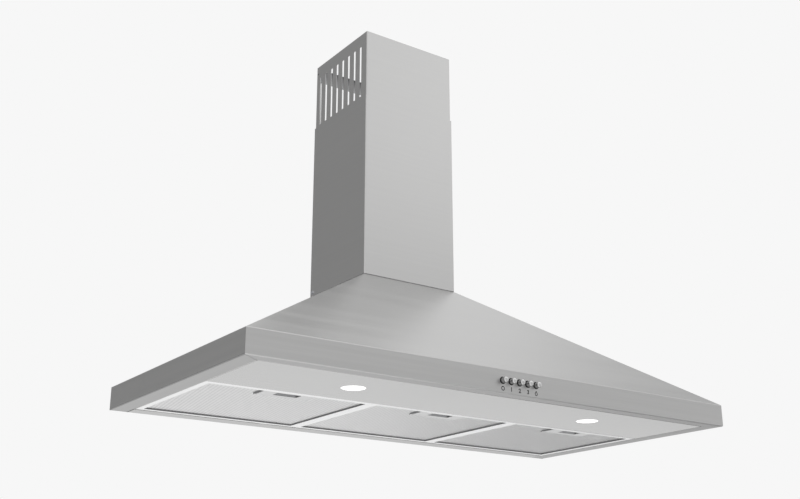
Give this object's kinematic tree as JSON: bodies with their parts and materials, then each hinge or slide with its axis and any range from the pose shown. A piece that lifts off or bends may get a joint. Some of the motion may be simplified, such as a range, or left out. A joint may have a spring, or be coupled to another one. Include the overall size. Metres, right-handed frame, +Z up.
{
  "type": "chimney range hood",
  "caption": "Wall-mounted stainless steel chimney range hood: pyramid canopy, telescopic chimney with side slots, push buttons, round lamps, latched grease filters and a scroll blower.",
  "frame": {"origin": "on the wall plane, midway between the two hook holes in the back", "axes": "+X to the right for someone facing the wall, +Y into the wall, +Z up"},
  "size_m": [0.9, 0.4615, 0.705],
  "materials": {
    "stainless_sheet": "brushed",
    "lamp_lens": "frosted",
    "lamp_housing": "satin",
    "circuit_board": "satin",
    "filter_frame": "satin",
    "filter_mesh": "satin",
    "latch_plate": "satin",
    "latch_slider": "satin",
    "button_metal": "polished",
    "black_plastic": "satin",
    "galvanised_sheet": "galvanised",
    "flap_plastic": "satin",
    "impeller_plastic": "satin",
    "plated_steel": "plated",
    "motor_steel": "satin",
    "dark_plastic": "satin",
    "capacitor_can": "satin",
    "lead_insulation": "satin"
  },
  "bodies": {
    "hood": {"blower_left_side": "galvanised_sheet", "blower_right_side": "galvanised_sheet", "blower_scroll": "galvanised_sheet", "bottom_panel": "stainless_sheet", "cable_gland": "dark_plastic", "canopy_back_sheet": "stainless_sheet", "canopy_front_sheet": "stainless_sheet", "canopy_left_sheet": "stainless_sheet", "canopy_right_sheet": "stainless_sheet", "capacitor": "capacitor_can", "case_screws": "plated_steel", "chimney_screws": "plated_steel", "lamp_left_board": "circuit_board", "lamp_left_housing": "lamp_housing", "lamp_left_lead": "lead_insulation", "lamp_left_lens": "lamp_lens", "lamp_right_board": "circuit_board", "lamp_right_housing": "lamp_housing", "lamp_right_lead": "lead_insulation", "lamp_right_lens": "lamp_lens", "led_driver": "dark_plastic", "lower_chimney": "stainless_sheet", "motor_body": "motor_steel", "motor_lead": "lead_insulation", "motor_mount": "galvanised_sheet", "outlet_collar": "flap_plastic", "outlet_tray": "galvanised_sheet", "switch_housing": "black_plastic", "switch_lead": "lead_insulation", "terminal_box": "dark_plastic"},
    "upper_chimney": {"upper_chimney": "stainless_sheet", "chimney_bracket": "galvanised_sheet"},
    "impeller": {"impeller_left_cage": "impeller_plastic", "impeller_right_cage": "impeller_plastic", "impeller_disc": "impeller_plastic", "impeller_nut": "plated_steel", "motor_shaft": "plated_steel"},
    "damper_front": {"damper_flap_front": "flap_plastic"},
    "damper_rear": {"damper_flap_rear": "flap_plastic"},
    "button_off": {"button_off_knob": "button_metal", "button_off_plunger": "black_plastic"},
    "button_speed_1": {"button_speed_1_knob": "button_metal", "button_speed_1_plunger": "black_plastic"},
    "button_speed_2": {"button_speed_2_knob": "button_metal", "button_speed_2_plunger": "black_plastic"},
    "button_speed_3": {"button_speed_3_knob": "button_metal", "button_speed_3_plunger": "black_plastic"},
    "button_light": {"button_light_knob": "button_metal", "button_light_plunger": "black_plastic"},
    "filter_left": {"filter_left_frame": "filter_frame", "filter_left_mesh": "filter_mesh", "filter_left_latch_plate": "latch_plate"},
    "filter_left_latch": {"filter_left_latch_slider": "latch_slider"},
    "filter_centre": {"filter_centre_frame": "filter_frame", "filter_centre_mesh": "filter_mesh", "filter_centre_latch_plate": "latch_plate"},
    "filter_centre_latch": {"filter_centre_latch_slider": "latch_slider"},
    "filter_right": {"filter_right_frame": "filter_frame", "filter_right_mesh": "filter_mesh", "filter_right_latch_plate": "latch_plate"},
    "filter_right_latch": {"filter_right_latch_slider": "latch_slider"}
  },
  "joints": [
    {"name": "upper_chimney_slide", "type": "slide", "parent": "hood", "child": "upper_chimney", "axis": [0, 0, 1], "range_m": [-0.12, 0.17]},
    {"name": "impeller_spin", "type": "hinge", "parent": "hood", "child": "impeller", "pos_m": [0, -0.145, -0.06], "axis": [1, 0, 0], "continuous": true},
    {"name": "damper_front_pivot", "type": "hinge", "parent": "hood", "child": "damper_front", "pos_m": [0, -0.0925, 0.072], "axis": [-1, 0, 0], "range_deg": [0, 80]},
    {"name": "damper_rear_pivot", "type": "hinge", "parent": "hood", "child": "damper_rear", "pos_m": [0, -0.0855, 0.072], "axis": [1, 0, 0], "range_deg": [0, 80]},
    {"name": "button_off_press", "type": "slide", "parent": "hood", "child": "button_off", "axis": [0, 1, 0], "range_m": [0, 0.004], "stiffness_N_per_m": 300},
    {"name": "button_speed_1_press", "type": "slide", "parent": "hood", "child": "button_speed_1", "axis": [0, 1, 0], "range_m": [0, 0.004], "stiffness_N_per_m": 300},
    {"name": "button_speed_2_press", "type": "slide", "parent": "hood", "child": "button_speed_2", "axis": [0, 1, 0], "range_m": [0, 0.004], "stiffness_N_per_m": 300},
    {"name": "button_speed_3_press", "type": "slide", "parent": "hood", "child": "button_speed_3", "axis": [0, 1, 0], "range_m": [0, 0.004], "stiffness_N_per_m": 300},
    {"name": "button_light_press", "type": "slide", "parent": "hood", "child": "button_light", "axis": [0, 1, 0], "range_m": [0, 0.004], "stiffness_N_per_m": 300},
    {"name": "filter_left_tilt", "type": "hinge", "parent": "hood", "child": "filter_left", "pos_m": [-0.28, -0.028, -0.1887], "axis": [1, 0, 0], "range_deg": [0, 50]},
    {"name": "filter_left_latch_slide", "type": "slide", "parent": "filter_left", "child": "filter_left_latch", "axis": [0, -1, 0], "range_m": [0, 0.004], "stiffness_N_per_m": 150, "springref_m": 0.01},
    {"name": "filter_centre_tilt", "type": "hinge", "parent": "hood", "child": "filter_centre", "pos_m": [0, -0.028, -0.1887], "axis": [1, 0, 0], "range_deg": [0, 50]},
    {"name": "filter_centre_latch_slide", "type": "slide", "parent": "filter_centre", "child": "filter_centre_latch", "axis": [0, -1, 0], "range_m": [0, 0.004], "stiffness_N_per_m": 150, "springref_m": 0.01},
    {"name": "filter_right_tilt", "type": "hinge", "parent": "hood", "child": "filter_right", "pos_m": [0.28, -0.028, -0.1887], "axis": [1, 0, 0], "range_deg": [0, 50]},
    {"name": "filter_right_latch_slide", "type": "slide", "parent": "filter_right", "child": "filter_right_latch", "axis": [0, -1, 0], "range_m": [0, 0.004], "stiffness_N_per_m": 150, "springref_m": 0.01}
  ]
}
